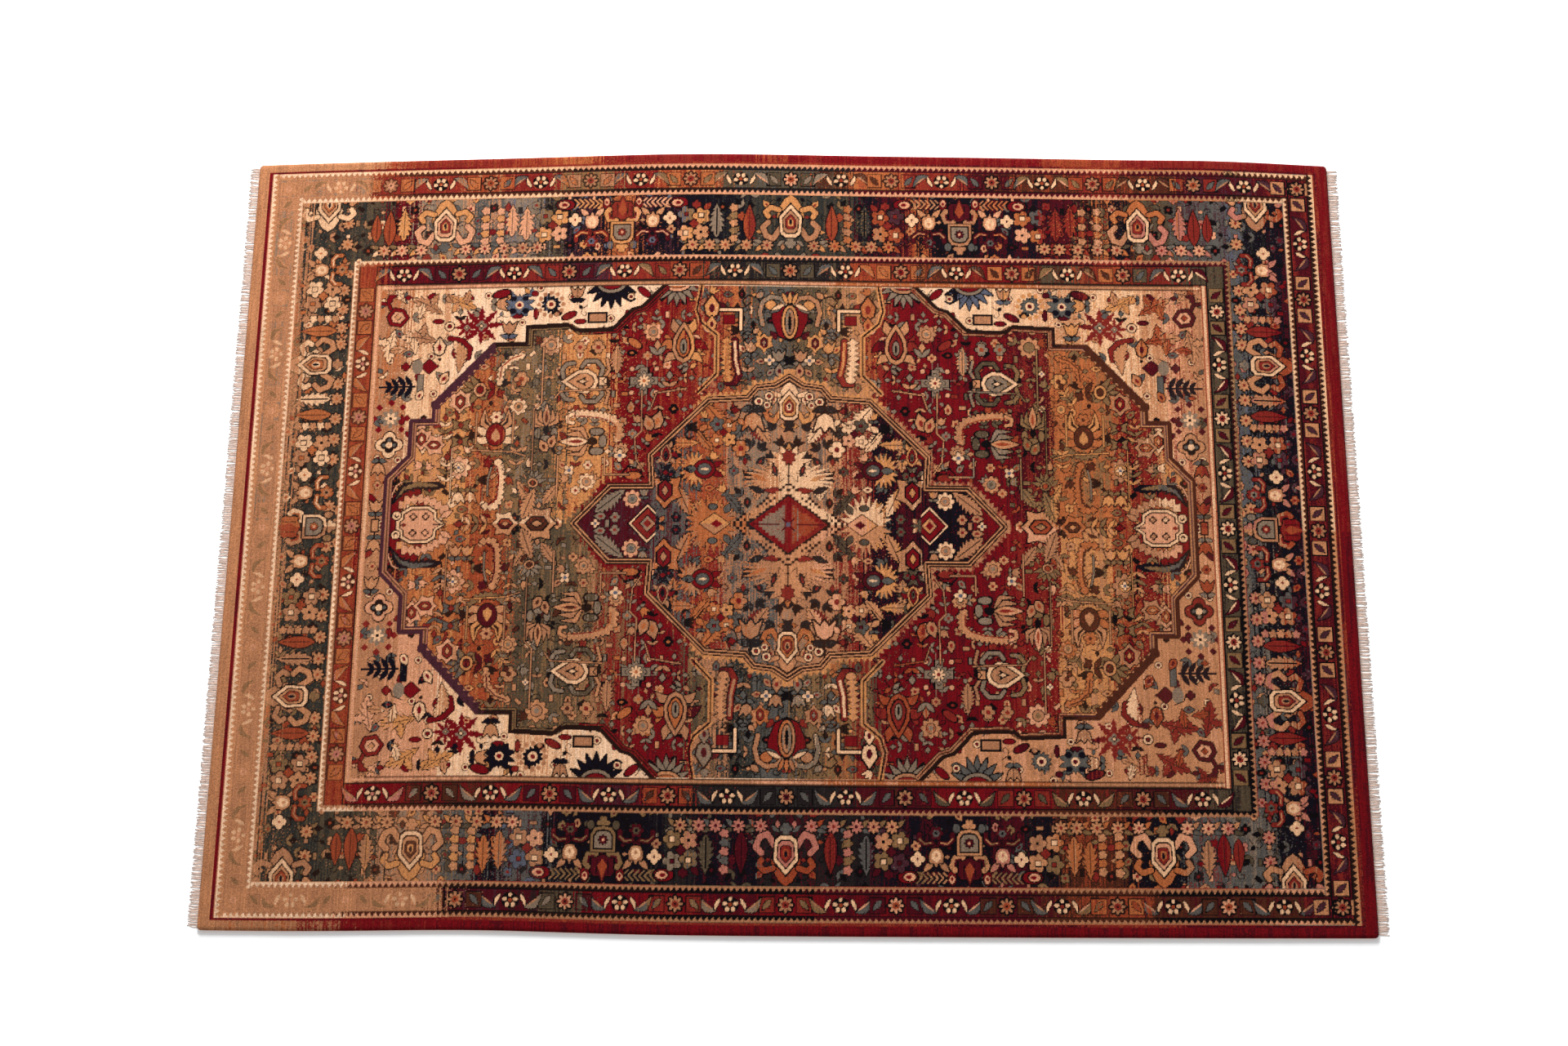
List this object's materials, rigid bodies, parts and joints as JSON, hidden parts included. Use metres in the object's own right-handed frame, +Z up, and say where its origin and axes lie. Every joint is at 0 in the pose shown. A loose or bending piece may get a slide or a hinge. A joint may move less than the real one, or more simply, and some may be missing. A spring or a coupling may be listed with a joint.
{
  "type": "wool rug",
  "caption": "Flat pile-woven wool rug, oblong with slightly swelling sides, with a traditional medallion and border pattern and a short cotton fringe at each end.",
  "frame": {"origin": "on the floor, under the middle of the rug's underside", "axes": "+X along the rug's length, +Y across it towards the side that swells more, +Z up out of the pile"},
  "size_m": [2.45, 1.734, 0.01],
  "materials": {
    "pile": "matte cut wool pile in a many-coloured traditional pattern, mainly dark red, tan, ochre, cream, grey-blue and navy",
    "fringe": "matte off-white cotton warp yarn"
  },
  "bodies": {
    "root": {"rug": "pile", "fringe_left": "fringe", "fringe_right": "fringe"}
  },
  "joints": []
}
